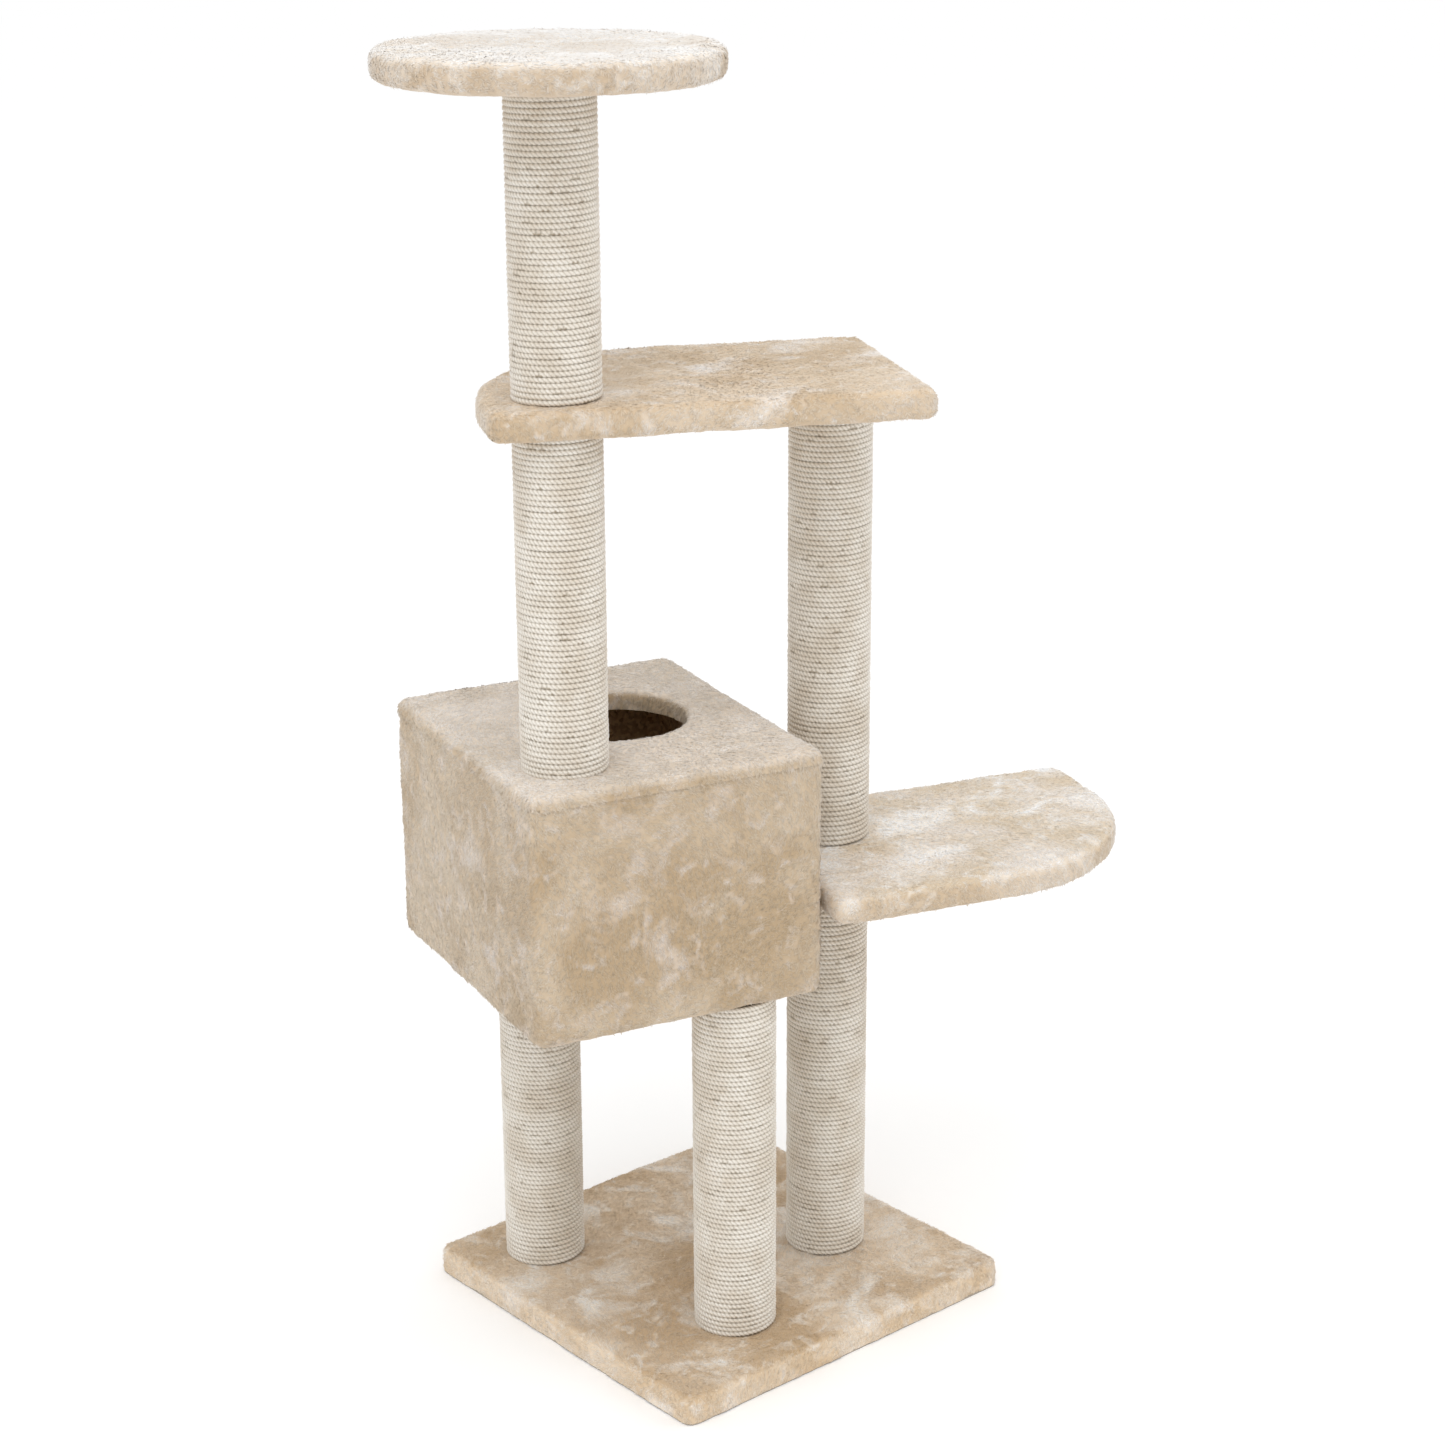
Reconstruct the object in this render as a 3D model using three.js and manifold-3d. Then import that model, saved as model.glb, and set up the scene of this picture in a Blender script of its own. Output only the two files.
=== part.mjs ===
// Cat tree: a base board, six sisal-wound posts, a cat cave with a hole in its roof,
// two shelves and a round top perch, bolted together through the ends of the posts.
// Millimetres, +Z up. Origin: centre of the base's underside, X along its front edge.
import * as THREE from 'three';
import { mergeVertices } from 'three/addons/utils/BufferGeometryUtils.js';
import Module from 'manifold-3d';

const wasm = await Module();
wasm.setup();

// ---------------------------------------------------------------- driving dimensions
const GAP = 0.3; // clearance between pieces that touch

// materials in sheet form
const PLUSH = 7.5; // plush cover, backing and pile together
const CAVE_BOARD = 14; // chipboard of the cave's panels
const BACKING = 2.5; // hardboard sheet under the base
const BACKING_INSET = 2; // from the base's outline

// posts: cardboard tube wound with sisal rope, with a threaded plug in each end
const POST_D = 90;
const ROPE = 5.6;
const TUBE_WALL = 3.5;
const PLUG_H = 20;
const POST_A_LENGTH = 385; // under the cave
const POST_B1_LENGTH = 465; // under the landing
const POST_B2_LENGTH = 504; // landing to shelf
const POST_C2_LENGTH = 301; // shelf to perch
const A1_FROM_A2 = [-60.8, 261.1];
const B_FROM_A2 = [196.2, 68.4];

// Each board reaches past the posts that meet it: these margins run from the post's surface.
const BASE_MARGIN = { left: 43.6, right: 72.7, front: 54.6, rear: 44.7 };
const BASE_H = 34;
const BASE_CORNER = 14;
const BASE_EDGE = 10;

// cat cave, turned about Z
const CAVE_TURN = -13.8;
const CAVE_MARGIN = { left: 80, right: 38.3, front: 3.8, rear: 41.9 };
const CAVE_H = 271;
const CAVE_CORNER = 14;
const CAVE_EDGE = 12;
const COVER_LAP = 6; // how far the roof and floor covers reach over the ends of the walls
const POST_C_LEFT = 27.9; // post C on the roof: from the cave's left face to its surface
const POST_C_FRONT = 36.5;
const ROOF_HOLE_D = 160; // the way in, measured inside its plush rim
const ROOF_HOLE_RIGHT = 65.6; // from the cave's right face to the hole's edge
const ROOF_HOLE_REAR = 88.3;
const MAT_H = 6;

// landing beside the cave, on post B
const LANDING_TURN = -18.1;
const LANDING_CLEAR = 4.3; // to the cave's right face
const LANDING_MARGIN = { right: 295.2, front: 146.1, rear: 58.1 };
const LANDING_ROUND = 216; // its front right corner

// shelf between the posts B and C
const SHELF_TURN = -27;
const SHELF_MARGIN = { left: 31.8, right: 6.2, front: 18.1, rear: 26.3 };
const SHELF_ROUND = 228; // its rear left corner

// both of them, and the round perch on top
const PLATE_H = 33;
const PLATE_CORNER = 24;
const PLATE_EDGE = 11;
const PERCH_D = 336;

// fasteners
const BOLT_D = 8;
const HEAD_D = 15;
const HEAD_H = 4.8;
const SOCKET_AF = 5;
const SOCKET_DEPTH = 3;
const WASHER_D = 22;
const WASHER_H = 1.6;
const THREAD_IN = 16; // how far a bolt or stud reaches into a plug

// how finely curves are drawn
const CORNER_CHORD = 0.5; // how far a corner's chord may lie inside its arc
const EDGE_STEPS = 3;
const POST_STEPS = 24;
const PERCH_STEPS = 48;
const HOLE_STEPS = 40;
const SMALL_STEPS = 16;

// ---------------------------------------------------------------- where things stand
const POST_R = POST_D / 2;

// A point of the tree seen from a frame turned about Z, and back again.
function turn([x, y], degrees) {
  const point = new THREE.Vector2(x, y);
  point.rotateAround(new THREE.Vector2(), THREE.MathUtils.degToRad(degrees));
  return [point.x, point.y];
}

// With post A2 at zero, the base spans the three posts on it; its centre is the origin.
const BASE = (() => {
  const x0 = A1_FROM_A2[0] - POST_R - BASE_MARGIN.left;
  const x1 = B_FROM_A2[0] + POST_R + BASE_MARGIN.right;
  const y0 = -POST_R - BASE_MARGIN.front;
  const y1 = A1_FROM_A2[1] + POST_R + BASE_MARGIN.rear;
  return { w: x1 - x0, d: y1 - y0, centre: [(x0 + x1) / 2, (y0 + y1) / 2] };
})();
const POST_A2 = [-BASE.centre[0], -BASE.centre[1]];
const POST_A1 = [POST_A2[0] + A1_FROM_A2[0], POST_A2[1] + A1_FROM_A2[1]];
const POST_B = [POST_A2[0] + B_FROM_A2[0], POST_A2[1] + B_FROM_A2[1]];

// The plan of a board in its turned frame, from the posts it has to reach past.
function spanning(degrees, leftPost, rightPost, frontPost, rearPost, margin) {
  const x0 = turn(leftPost, -degrees)[0] - POST_R - margin.left;
  const x1 = turn(rightPost, -degrees)[0] + POST_R + margin.right;
  const y0 = turn(frontPost, -degrees)[1] - POST_R - margin.front;
  const y1 = turn(rearPost, -degrees)[1] + POST_R + margin.rear;
  return { x0, y0, x1, y1, w: x1 - x0, d: y1 - y0 };
}

const CAVE = spanning(CAVE_TURN, POST_A1, POST_A2, POST_A2, POST_A1, CAVE_MARGIN);
const POST_C = turn([CAVE.x0 + POST_C_LEFT + POST_R, CAVE.y0 + POST_C_FRONT + POST_R], CAVE_TURN);
const SHELF = spanning(SHELF_TURN, POST_C, POST_B, POST_C, POST_B, SHELF_MARGIN);

// The landing starts beside the cave's right face.
const LANDING = (() => {
  const corners = [CAVE.y0, CAVE.y1].map((y) => turn([CAVE.x1, y], CAVE_TURN - LANDING_TURN));
  const x0 = Math.max(...corners.map(([x]) => x)) + LANDING_CLEAR;
  const margin = { ...LANDING_MARGIN, left: 0 };
  const plan = spanning(LANDING_TURN, POST_B, POST_B, POST_B, POST_B, margin);
  return { ...plan, x0, w: plan.x1 - x0 };
})();

const CAVE_Z = BASE_H + POST_A_LENGTH;
const LANDING_Z = BASE_H + POST_B1_LENGTH;
const SHELF_Z = LANDING_Z + PLATE_H + POST_B2_LENGTH;
const PERCH_Z = SHELF_Z + PLATE_H + POST_C2_LENGTH;

// ---------------------------------------------------------------- materials
const finish = (color, roughness, metalness = 0) =>
  new THREE.MeshStandardMaterial({ color, roughness, metalness });
const plush = () => finish('#dccbb2', 0.95);
const sisal = () => finish('#e0d4c0', 0.9);
const chipboard = () => finish('#b89468', 0.8);
const hardboard = () => finish('#6f5a45', 0.75);
const cardboard = () => finish('#a98a63', 0.9);
const plastic = () => finish('#2b2b2c', 0.5);
const steel = () => finish('#b9bbbd', 0.35, 1);

// ---------------------------------------------------------------- solids
// A closed three.js geometry becomes a manifold solid once its corners are merged.
function solid(geometry) {
  const bare = geometry.clone();
  bare.deleteAttribute('normal');
  bare.deleteAttribute('uv');
  const merged = mergeVertices(bare, 1e-4);
  return new wasm.Manifold(
    new wasm.Mesh({
      numProp: 3,
      vertProperties: new Float32Array(merged.attributes.position.array),
      triVerts: new Uint32Array(merged.index.array),
    }),
  );
}

function geometryOf(manifold) {
  const mesh = manifold.getMesh();
  const geometry = new THREE.BufferGeometry();
  geometry.setAttribute('position', new THREE.BufferAttribute(mesh.vertProperties, 3));
  geometry.setIndex(new THREE.BufferAttribute(mesh.triVerts, 1));
  return geometry;
}

function cut(body, ...tools) {
  return tools.reduce((rest, tool) => rest.subtract(tool), body);
}

// A profile of [radius, height] points, counter-clockwise, turned about Z.
function turned(profile, steps) {
  const points = profile.map(([r, z]) => new THREE.Vector2(r, z));
  return new THREE.LatheGeometry(points, steps).rotateX(Math.PI / 2);
}

function rod(radius, z0, z1, steps, [x, y] = [0, 0]) {
  const profile = [[0, z0], [radius, z0], [radius, z1], [0, z1]];
  return solid(turned(profile, steps).translate(x, y, 0));
}

function ring(outer, inner, height, steps) {
  return turned([[outer, 0], [outer, height], [inner, height], [inner, 0], [outer, 0]], steps);
}

function box([x0, x1], [y0, y1], [z0, z1]) {
  const geometry = new THREE.BoxGeometry(x1 - x0, y1 - y0, z1 - z0);
  return geometry.translate((x0 + x1) / 2, (y0 + y1) / 2, (z0 + z1) / 2);
}

// A rectangle with its own radius at each corner, in the order front left, front right,
// rear right, rear left, drawn "inset" inside its true outline.
function outline({ x0, y0, w, d, radii }, inset) {
  const points = [];
  const corners = [[0, 0], [1, 0], [1, 1], [0, 1]];
  corners.forEach(([right, rear], i) => {
    const radius = Math.max(Math.min(radii[i], w / 2, d - radii[(i + 1) % 4]) - inset, 0.5);
    const cx = right ? x0 + w - inset - radius : x0 + inset + radius;
    const cy = rear ? y0 + d - inset - radius : y0 + inset + radius;
    const steps = Math.ceil(Math.PI / 4 / Math.acos(1 - Math.min(CORNER_CHORD / radius, 1)));
    for (let k = 0; k <= steps; k += 1) {
      const angle = Math.PI + (i + k / steps) * (Math.PI / 2);
      points.push(new THREE.Vector2(cx + radius * Math.cos(angle), cy + radius * Math.sin(angle)));
    }
  });
  return new THREE.Shape(points);
}

// A slab over that outline with its upper and lower edges rounded by "edge".
function slab(plan, z0, z1, { inset = 0, edge = 0 } = {}) {
  const geometry = new THREE.ExtrudeGeometry(outline(plan, inset + edge), {
    depth: z1 - z0 - 2 * edge,
    bevelEnabled: edge > 0,
    bevelSize: edge,
    bevelThickness: edge,
    bevelSegments: EDGE_STEPS,
  });
  return solid(geometry.translate(0, 0, z0 + edge));
}

// ---------------------------------------------------------------- the assembly
const tree = new THREE.Group();

function add(parent, name, geometry, material, [x, y, z] = [0, 0, 0]) {
  const mesh = new THREE.Mesh(geometry, material);
  mesh.name = name;
  mesh.position.set(x, y, z);
  parent.add(mesh);
  return mesh;
}

// A group turned about Z, and the way a post's place is told in it.
function turnedGroup(degrees) {
  const group = new THREE.Group();
  group.rotation.z = THREE.MathUtils.degToRad(degrees);
  tree.add(group);
  return { group, place: (point) => turn(point, -degrees) };
}

// ---------------------------------------------------------------- fasteners
const boltHole = (z0, z1, at) => rod(BOLT_D / 2 + GAP, z0, z1, SMALL_STEPS, at);
const headPocket = (z0, z1, at) => rod(WASHER_D / 2 + 2 * GAP, z0, z1, SMALL_STEPS, at);

// A bolt along +Z with the underside of its head at z = 0 and its shank below.
function boltGeometry(length) {
  const shank = BOLT_D / 2;
  const head = HEAD_D / 2;
  const profile = [[0, -length], [shank, -length], [shank, 0], [head, 0], [head, HEAD_H], [0, HEAD_H]];
  const corner = SOCKET_AF / Math.sqrt(3);
  const socket = new THREE.CylinderGeometry(corner, corner, SOCKET_DEPTH * 2, 6);
  socket.rotateX(Math.PI / 2).translate(0, 0, HEAD_H);
  return geometryOf(cut(solid(turned(profile, SMALL_STEPS)), solid(socket)));
}

// up = +1 when the head is on top, -1 when the bolt is driven from below
function addBolt(name, [x, y], headZ, length, up) {
  const bolt = add(tree, name, boltGeometry(length), steel(), [x, y, headZ]);
  if (up < 0) bolt.rotation.x = Math.PI;
}

function addWasher(name, [x, y], z) {
  const washer = ring(WASHER_D / 2, BOLT_D / 2 + GAP, WASHER_H, SMALL_STEPS);
  add(tree, name, washer, steel(), [x, y, z]);
}

function addStud(name, [x, y], z0, z1) {
  const profile = [[0, 0], [BOLT_D / 2, 0], [BOLT_D / 2, z1 - z0], [0, z1 - z0]];
  add(tree, name, turned(profile, SMALL_STEPS), steel(), [x, y, z0]);
}

// ---------------------------------------------------------------- posts
function addPost(name, [x, y], z0, z1) {
  const height = z1 - z0 - 2 * GAP;
  const bottom = z0 + GAP;
  const underRope = POST_R - ROPE;
  const tubeRadius = underRope - GAP;
  const plugRadius = tubeRadius - TUBE_WALL - GAP;
  const bore = BOLT_D / 2 + GAP;
  const wrap = ring(POST_R, underRope, height, POST_STEPS);
  add(tree, `${name}_sisal_wrap`, wrap, sisal(), [x, y, bottom]);
  const tube = ring(tubeRadius, tubeRadius - TUBE_WALL, height, POST_STEPS);
  add(tree, `${name}_core_tube`, tube, cardboard(), [x, y, bottom]);
  const plug = ring(plugRadius, bore, PLUG_H, POST_STEPS);
  add(tree, `${name}_plug_bottom`, plug, plastic(), [x, y, bottom]);
  add(tree, `${name}_plug_top`, plug.clone(), plastic(), [x, y, bottom + height - PLUG_H]);
}

// ---------------------------------------------------------------- base
function addBase() {
  const radii = Array(4).fill(BASE_CORNER);
  const plan = { x0: -BASE.w / 2, y0: -BASE.d / 2, w: BASE.w, d: BASE.d, radii };
  const feet = [POST_A1, POST_A2, POST_B];
  const boardTop = BASE_H - PLUSH - GAP;
  const pocketTop = BACKING + GAP + WASHER_H + HEAD_H + 2 * GAP;
  const below = -BASE_EDGE * 2;

  const underneath = solid(box([-BASE.w, BASE.w], [-BASE.d, BASE.d], [2 * below, BACKING + GAP]));
  const cavity = slab(plan, below, boardTop + GAP, { inset: PLUSH });
  const coverHoles = feet.map((at) => boltHole(boardTop, BASE_H + 1, at));
  const cover = cut(slab(plan, below, BASE_H, { edge: BASE_EDGE }), underneath, cavity, ...coverHoles);
  add(tree, 'base_cover', geometryOf(cover), plush());

  const boardHoles = feet.map((at) => boltHole(0, BASE_H, at));
  const pockets = feet.map((at) => headPocket(0, pocketTop, at));
  const board = slab(plan, BACKING + GAP, boardTop, { inset: PLUSH + GAP });
  add(tree, 'base_board', geometryOf(cut(board, ...boardHoles, ...pockets)), chipboard());

  const openings = feet.map((at) => headPocket(-1, BACKING + 1, at));
  const backing = slab(plan, 0, BACKING, { inset: BACKING_INSET });
  add(tree, 'base_backing', geometryOf(cut(backing, ...openings)), hardboard());

  const names = ['a1', 'a2', 'b1'];
  feet.forEach((at, i) => {
    const washerZ = pocketTop - WASHER_H;
    const headZ = washerZ - GAP;
    addWasher(`base_washer_${names[i]}`, at, washerZ - GAP / 2);
    addBolt(`base_bolt_${names[i]}`, at, headZ - GAP / 2, BASE_H + GAP + THREAD_IN - headZ, -1);
  });
}

// ---------------------------------------------------------------- shelves
// A board inside a sewn plush cover, with a hole for each stud or bolt through it.
// pocket marks a bolt whose head is sunk in the board under the cover.
function addPlate(parent, name, plan, z0, fixings) {
  const top = z0 + PLATE_H;
  const board = [z0 + PLUSH + GAP, top - PLUSH - GAP];
  const coverHoles = fixings.map(({ at, pocket }) =>
    boltHole(z0 - 1, pocket ? board[0] : top + 1, at));
  const cavity = plan.cavity(board[0] - GAP, board[1] + GAP, PLUSH);
  add(parent, `${name}_cover`, geometryOf(cut(plan.padded(z0, top), cavity, ...coverHoles)), plush());

  const boardHoles = fixings.map(({ at }) => boltHole(z0, top, at));
  const pockets = fixings.filter(({ pocket }) => pocket)
    .map(({ at }) => headPocket(board[1] - HEAD_H - 2 * GAP, top, at));
  const core = plan.cavity(board[0], board[1], PLUSH + GAP);
  add(parent, `${name}_board`, geometryOf(cut(core, ...boardHoles, ...pockets)), chipboard());
}

function rectangularPlan(plan) {
  return {
    padded: (z0, z1) => slab(plan, z0, z1, { edge: PLATE_EDGE }),
    cavity: (z0, z1, inset) => slab(plan, z0, z1, { inset }),
  };
}

// The perch's rim is rounded in the same way, turned about the post that carries it.
function roundPlan(radius, [x, y]) {
  const rim = (z0, z1) => {
    const quarter = Array.from({ length: EDGE_STEPS + 1 }, (_, i) => (i / EDGE_STEPS) * (Math.PI / 2));
    const core = radius - PLATE_EDGE;
    const bend = (a) => [PLATE_EDGE * Math.cos(a), PLATE_EDGE * (1 - Math.sin(a))];
    const upper = quarter.map(bend).map(([r, dz]) => [core + r, z1 - dz]);
    const lower = quarter.map(bend).map(([r, dz]) => [core + r, z0 + dz]).reverse();
    return [[0, z0], ...lower, ...upper, [0, z1]];
  };
  return {
    padded: (z0, z1) => solid(turned(rim(z0, z1), PERCH_STEPS).translate(x, y, 0)),
    cavity: (z0, z1, inset) => rod(radius - inset, z0, z1, PERCH_STEPS, [x, y]),
  };
}

function addShelf() {
  const { group, place } = turnedGroup(SHELF_TURN);
  const radii = [PLATE_CORNER, PLATE_CORNER, PLATE_CORNER, SHELF_ROUND];
  const fixings = [{ at: place(POST_C) }, { at: place(POST_B), pocket: true }];
  addPlate(group, 'shelf', rectangularPlan({ ...SHELF, radii }), SHELF_Z, fixings);
}

function addLanding() {
  const { group, place } = turnedGroup(LANDING_TURN);
  const radii = [PLATE_CORNER, LANDING_ROUND, PLATE_CORNER, PLATE_CORNER];
  addPlate(group, 'landing', rectangularPlan({ ...LANDING, radii }), LANDING_Z, [{ at: place(POST_B) }]);
}

function addPerch() {
  const fixings = [{ at: POST_C, pocket: true }];
  addPlate(tree, 'perch', roundPlan(PERCH_D / 2, POST_C), PERCH_Z, fixings);
}

// ---------------------------------------------------------------- cat cave
function addCave() {
  const { group, place } = turnedGroup(CAVE_TURN);
  const plan = { ...CAVE, radii: Array(4).fill(CAVE_CORNER) };
  const top = CAVE_Z + CAVE_H;
  const floor = [CAVE_Z + PLUSH + GAP, CAVE_Z + PLUSH + GAP + CAVE_BOARD];
  const roof = [top - PLUSH - GAP - CAVE_BOARD, top - PLUSH - GAP];
  const walls = [floor[1] + GAP, roof[0] - GAP];
  const pocketDepth = HEAD_H + WASHER_H + 3 * GAP;
  const postA = [place(POST_A1), place(POST_A2)];
  const postC = place(POST_C);

  // covers: one sewn round the walls, one over the roof and one under the floor
  const skirt = PLUSH + CAVE_BOARD + 2 * GAP + COVER_LAP;
  const sleeve = [CAVE_Z + skirt + GAP, top - skirt - GAP];
  const whole = slab(plan, CAVE_Z, top, { edge: CAVE_EDGE });
  const square = { ...plan, radii: Array(4).fill(0) };
  const inside = (z0, z1) => slab(square, z0, z1, { inset: PLUSH });
  const band = (z0, z1) =>
    solid(box([plan.x0 - 1, plan.x1 + 1], [plan.y0 - 1, plan.y1 + 1], [z0, z1]));

  const holeR = ROOF_HOLE_D / 2;
  const holeAt = [plan.x1 - ROOF_HOLE_RIGHT - holeR, plan.y1 - ROOF_HOLE_REAR - holeR];
  const rim = rod(holeR + PLUSH, roof[0], roof[1] + GAP, HOLE_STEPS, holeAt);
  const mouth = rod(holeR, roof[0] - 1, top + 1, HOLE_STEPS, holeAt);
  const lid = cut(whole.intersect(band(top - skirt, top + 1)), inside(CAVE_Z, roof[1] + GAP));
  const roofCover = cut(lid.add(rim), mouth, boltHole(roof[1], top + 1, postC));
  add(group, 'cave_roof_cover', geometryOf(roofCover), plush());

  const floorHoles = postA.map((at) => boltHole(CAVE_Z - 1, floor[1], at));
  const tray = cut(whole.intersect(band(CAVE_Z - 1, CAVE_Z + skirt)), inside(floor[0] - GAP, top));
  add(group, 'cave_floor_cover', geometryOf(cut(tray, ...floorHoles)), plush());

  const wrap = cut(whole.intersect(band(...sleeve)), inside(CAVE_Z, top));
  add(group, 'cave_wall_cover', geometryOf(wrap), plush());

  // panels
  const roofBoard = cut(
    slab(square, ...roof, { inset: PLUSH + GAP }),
    rod(holeR + PLUSH + GAP, roof[0] - 1, roof[1] + 1, HOLE_STEPS, holeAt),
    boltHole(roof[0] - 1, roof[1] + 1, postC),
    headPocket(roof[0] - 1, roof[0] + pocketDepth, postC),
  );
  add(group, 'cave_roof_panel', geometryOf(roofBoard), chipboard());

  const floorBoard = cut(
    slab(square, ...floor, { inset: PLUSH + GAP }),
    ...postA.map((at) => boltHole(floor[0] - 1, floor[1] + 1, at)),
    ...postA.map((at) => headPocket(floor[1] - pocketDepth, floor[1] + 1, at)),
  );
  add(group, 'cave_floor_panel', geometryOf(floorBoard), chipboard());

  const out = PLUSH + GAP;
  const fullWidth = [plan.x0 + out, plan.x1 - out];
  const frontBoard = [plan.y0 + out, plan.y0 + out + CAVE_BOARD];
  const rearBoard = [plan.y1 - out - CAVE_BOARD, plan.y1 - out];
  const between = [frontBoard[1] + GAP, rearBoard[0] - GAP];
  const leftBoard = [fullWidth[0], fullWidth[0] + CAVE_BOARD];
  const rightBoard = [fullWidth[1] - CAVE_BOARD, fullWidth[1]];
  add(group, 'cave_front_panel', box(fullWidth, frontBoard, walls), chipboard());
  add(group, 'cave_left_panel', box(leftBoard, between, walls), chipboard());
  add(group, 'cave_right_panel', box(rightBoard, between, walls), chipboard());
  add(group, 'cave_rear_panel', box(fullWidth, rearBoard, walls), chipboard());

  const mat = slab(square, floor[1] + GAP, floor[1] + GAP + MAT_H, { inset: out + CAVE_BOARD + 1 });
  add(group, 'cave_mat', geometryOf(mat), plush());

  // bolts: two down into the posts under the cave, one up into the post on its roof
  const floorSeat = floor[1] - pocketDepth + GAP;
  [POST_A1, POST_A2].forEach((at, i) => {
    addWasher(`cave_washer_a${i + 1}`, at, floorSeat);
    const headZ = floorSeat + WASHER_H + GAP;
    addBolt(`cave_bolt_a${i + 1}`, at, headZ, headZ - CAVE_Z + GAP + THREAD_IN, 1);
  });
  const roofSeat = roof[0] + pocketDepth - GAP - WASHER_H;
  addWasher('cave_washer_c1', POST_C, roofSeat);
  addBolt('cave_bolt_c1', POST_C, roofSeat - GAP, top - roofSeat + 2 * GAP + THREAD_IN, -1);
}

// ---------------------------------------------------------------- putting it together
addBase();
addCave();
addLanding();
addShelf();
addPerch();

const caveTop = CAVE_Z + CAVE_H;
const landingTop = LANDING_Z + PLATE_H;
const shelfTop = SHELF_Z + PLATE_H;
addPost('post_a1', POST_A1, BASE_H, CAVE_Z);
addPost('post_a2', POST_A2, BASE_H, CAVE_Z);
addPost('post_b1', POST_B, BASE_H, LANDING_Z);
addPost('post_b2', POST_B, landingTop, SHELF_Z);
addPost('post_c1', POST_C, caveTop, SHELF_Z);
addPost('post_c2', POST_C, shelfTop, PERCH_Z);

addStud('landing_stud', POST_B, LANDING_Z - THREAD_IN, landingTop + THREAD_IN);
addStud('shelf_stud', POST_C, SHELF_Z - THREAD_IN, shelfTop + THREAD_IN);
const sunkHead = (plateTop) => plateTop - PLUSH - GAP - HEAD_H - GAP;
const sunkBolt = (plateZ, plateTop) => sunkHead(plateTop) - plateZ + GAP + THREAD_IN;
addBolt('shelf_bolt_b2', POST_B, sunkHead(shelfTop), sunkBolt(SHELF_Z, shelfTop), 1);
addBolt('perch_bolt_c2', POST_C, sunkHead(PERCH_Z + PLATE_H), sunkBolt(PERCH_Z, PERCH_Z + PLATE_H), 1);

export default tree;
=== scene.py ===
"""Looks of the cat tree: plush covers, sisal-wound posts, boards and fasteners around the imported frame."""

import math

import bmesh
import bpy
import numpy as np
from mathutils import Matrix, Vector


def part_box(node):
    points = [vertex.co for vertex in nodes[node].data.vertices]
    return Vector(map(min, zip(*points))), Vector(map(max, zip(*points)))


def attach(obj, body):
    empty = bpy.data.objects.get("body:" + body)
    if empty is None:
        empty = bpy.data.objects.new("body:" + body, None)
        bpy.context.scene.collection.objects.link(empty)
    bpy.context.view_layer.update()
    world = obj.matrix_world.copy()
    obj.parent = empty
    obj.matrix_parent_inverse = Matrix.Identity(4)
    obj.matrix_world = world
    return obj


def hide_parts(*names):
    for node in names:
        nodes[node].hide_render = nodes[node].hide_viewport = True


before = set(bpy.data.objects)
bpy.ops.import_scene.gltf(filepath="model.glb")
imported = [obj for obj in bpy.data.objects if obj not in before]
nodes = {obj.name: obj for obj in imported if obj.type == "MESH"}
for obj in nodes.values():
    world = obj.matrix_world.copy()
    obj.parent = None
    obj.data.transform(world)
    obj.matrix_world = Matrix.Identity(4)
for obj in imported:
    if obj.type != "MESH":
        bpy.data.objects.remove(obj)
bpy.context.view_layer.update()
scene = bpy.context.scene
MM = 0.001


# ---------------------------------------------------------------- studio
# A camera a little above the top perch, looking down over the front left corner of the base,
# a matt near-white floor, and soft light from the upper left that fills every side.
camera = bpy.data.objects.new("camera", bpy.data.cameras.new("camera"))
scene.collection.objects.link(camera)
camera.data.lens = 73.12
camera.data.clip_end = 50
camera.matrix_world = (
    Matrix.Translation(Vector((-1943.14, -2279.96, 1673.71)) * MM)
    @ Matrix.Rotation(math.radians(-40.6044), 4, "Z")
    @ Matrix.Rotation(math.radians(90 - 18.57437), 4, "X")
    @ Matrix.Rotation(math.radians(-0.28523), 4, "Z")
)
scene.camera = camera
scene.view_settings.view_transform = "Standard"


def put(tree, kind, settings=None, links=None):
    """Adds one node with its settings and links. A name is one of its sockets or else a property."""
    node = tree.nodes.new("ShaderNode" + kind)
    for name, value in (settings or {}).items():
        if isinstance(name, int) or name in node.inputs:
            node.inputs[name].default_value = value
        else:
            setattr(node, name, value)
    for socket, source in (links or {}).items():
        tree.links.new(source, node.inputs[socket])
    return node


def linear(code):
    """An sRGB hex colour as the linear RGBA that the shader sockets take."""
    channels = [int(code[i:i + 2], 16) / 255 for i in (1, 3, 5)]
    return [c / 12.92 if c <= 0.04045 else ((c + 0.055) / 1.055) ** 2.4 for c in channels] + [1.0]


def new_material(name):
    material = bpy.data.materials.new(name)
    material.use_nodes = True
    material.node_tree.nodes.clear()
    return material, material.node_tree


# matt white paper floor
paper, tree = new_material("white_paper_floor")
shader = put(tree, "BsdfDiffuse", {"Color": linear("#ffffff")})
put(tree, "OutputMaterial", links={"Surface": shader.outputs["BSDF"]})
bm = bmesh.new()
bmesh.ops.create_grid(bm, x_segments=1, y_segments=1, size=15)
floor = bpy.data.objects.new("floor", bpy.data.meshes.new("floor"))
bm.to_mesh(floor.data)
bm.free()
floor.data.materials.append(paper)
scene.collection.objects.link(floor)

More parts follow.
